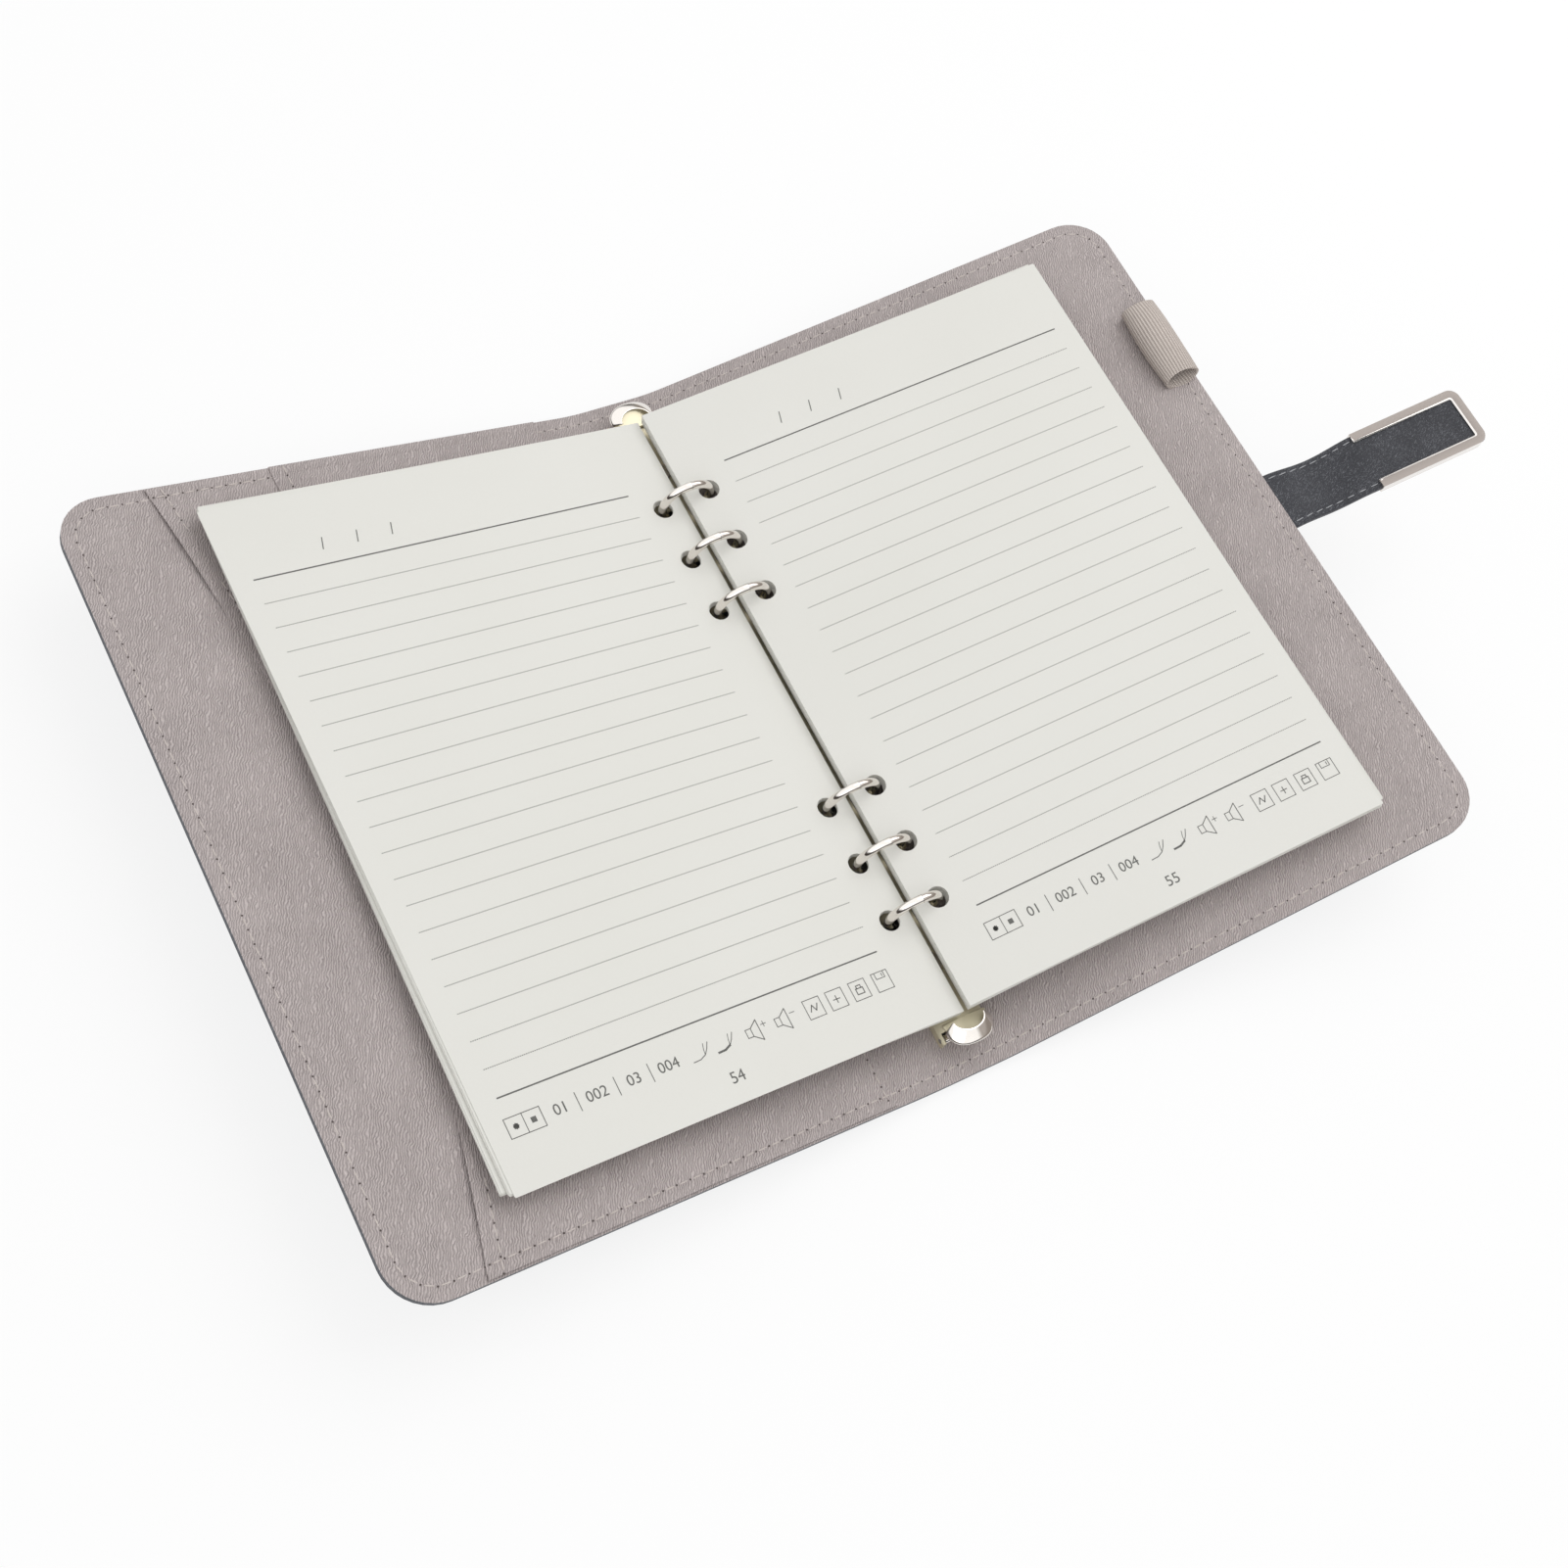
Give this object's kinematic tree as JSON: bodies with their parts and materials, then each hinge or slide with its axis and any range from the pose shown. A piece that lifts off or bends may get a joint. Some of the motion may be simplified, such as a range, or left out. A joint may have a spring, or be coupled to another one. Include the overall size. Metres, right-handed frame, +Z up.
{
  "type": "six-ring notebook",
  "caption": "Open loose-leaf notebook with soft covers, six-ring mechanism, ruled leaves, pockets, pen loop and a magnetic strap.",
  "frame": {"origin": "middle of the spine's outer face, which rests on the table", "axes": "+X across the notebook from the front cover to the back cover, +Y along the spine to the head of the pages, +Z up"},
  "size_m": [0.4261, 0.2408, 0.0515],
  "materials": {
    "outer_leather": "soft-touch dark blue-grey",
    "lining": "soft-touch taupe, fine grain",
    "board": "grey board",
    "strap_suede": "dark suede-like lining",
    "elastic": "ribbed beige elastic",
    "paper": "cream writing paper",
    "nickel": "bright nickel plate",
    "housing_nickel": "nickel plate, warm",
    "satin_metal": "champagne satin with bright rims",
    "spring_steel": "plain steel",
    "magnet": "nickel-coated magnet"
  },
  "bodies": {
    "spine": {"spine_leather": "outer_leather", "spine_board": "board", "spine_lining": "lining", "ring_housing": "housing_nickel", "housing_rivets": "nickel", "lever_pins": "spring_steel"},
    "front_cover": {"front_leather": "outer_leather", "front_board": "board", "front_lining": "lining", "front_keeper_plate": "spring_steel", "slip_pocket": "lining", "card_pocket": "lining"},
    "back_cover": {"back_leather": "outer_leather", "back_board": "board", "back_lining": "lining", "pen_loop": "elastic", "strap_tail": "outer_leather"},
    "strap_neck": {"neck_leather": "outer_leather", "neck_lining": "strap_suede"},
    "strap_tip": {"tip_leather": "outer_leather", "tip_lining": "strap_suede", "tip_magnet": "magnet", "tip_frame": "satin_metal"},
    "left_ring_halves": {"left_blade": "spring_steel", "left_rings": "nickel"},
    "right_ring_halves": {"right_blade": "spring_steel", "right_rings": "nickel"},
    "top_lever": {"top_lever": "nickel"},
    "bottom_lever": {"bottom_lever": "nickel"},
    "left_pages": {"left_top_leaf": "paper", "left_upper_leaves": "paper", "left_lower_leaves": "paper"},
    "right_pages": {"right_upper_leaves": "paper", "right_lower_leaves": "paper"},
    "turning_leaf": {"right_top_leaf": "paper"}
  },
  "joints": [
    {"name": "front_cover_fold", "type": "hinge", "parent": "spine", "child": "front_cover", "pos_m": [-0.0135, 0, 0.0018], "axis": [0, 1, 0], "range_deg": [-10.5, 79.5]},
    {"name": "back_cover_fold", "type": "hinge", "parent": "spine", "child": "back_cover", "pos_m": [0.0135, 0, 0.0018], "axis": [0, -1, 0], "range_deg": [-11.5, 78.5]},
    {"name": "strap_fold", "type": "hinge", "parent": "back_cover", "child": "strap_neck", "pos_m": [0.17713, -0.0015, 0.03519], "axis": [0, -1, 0], "range_deg": [0, 90]},
    {"name": "tip_fold", "type": "hinge", "parent": "strap_neck", "child": "strap_tip", "pos_m": [0.20731, -0.0015, 0.04133], "axis": [0, -1, 0], "range_deg": [0, 90]},
    {"name": "left_rings_open", "type": "hinge", "parent": "spine", "child": "left_ring_halves", "pos_m": [-0.0051, 0, 0.0051], "axis": [0, 1, 0], "range_deg": [-7, 0]},
    {"name": "right_rings_open", "type": "hinge", "parent": "spine", "child": "right_ring_halves", "pos_m": [0.0081, 0, 0.0051], "axis": [0, -1, 0], "range_deg": [-7.1, 0.1]},
    {"name": "top_lever_press", "type": "hinge", "parent": "spine", "child": "top_lever", "pos_m": [0.0015, 0.1086, 0.0056], "axis": [1, 0, 0], "range_deg": [-15.2, 0.2]},
    {"name": "bottom_lever_press", "type": "hinge", "parent": "spine", "child": "bottom_lever", "pos_m": [0.0015, -0.1086, 0.0056], "axis": [-1, 0, 0], "range_deg": [-15.2, 0.2]},
    {"name": "left_pages_turn", "type": "hinge", "parent": "spine", "child": "left_pages", "pos_m": [0.0015, 0, 0.0156], "axis": [0, 1, 0], "range_deg": [-10.9, 81.1]},
    {"name": "right_pages_turn", "type": "hinge", "parent": "spine", "child": "right_pages", "pos_m": [0.0015, 0, 0.0156], "axis": [0, -1, 0], "range_deg": [-12.1, 81.3]},
    {"name": "leaf_turn", "type": "hinge", "parent": "right_pages", "child": "turning_leaf", "pos_m": [0.0015, 0, 0.0156], "axis": [0, 1, 0], "range_deg": [-162, 0]}
  ],
  "couplings": [
    {"joint": "left_pages_turn", "follows": "front_cover_fold", "ratio": 1.0164},
    {"joint": "right_pages_turn", "follows": "back_cover_fold", "ratio": 1.0331},
    {"joint": "right_rings_open", "follows": "left_rings_open", "ratio": 1},
    {"joint": "top_lever_press", "follows": "left_rings_open", "ratio": 2.1429},
    {"joint": "bottom_lever_press", "follows": "left_rings_open", "ratio": 2.1429}
  ]
}
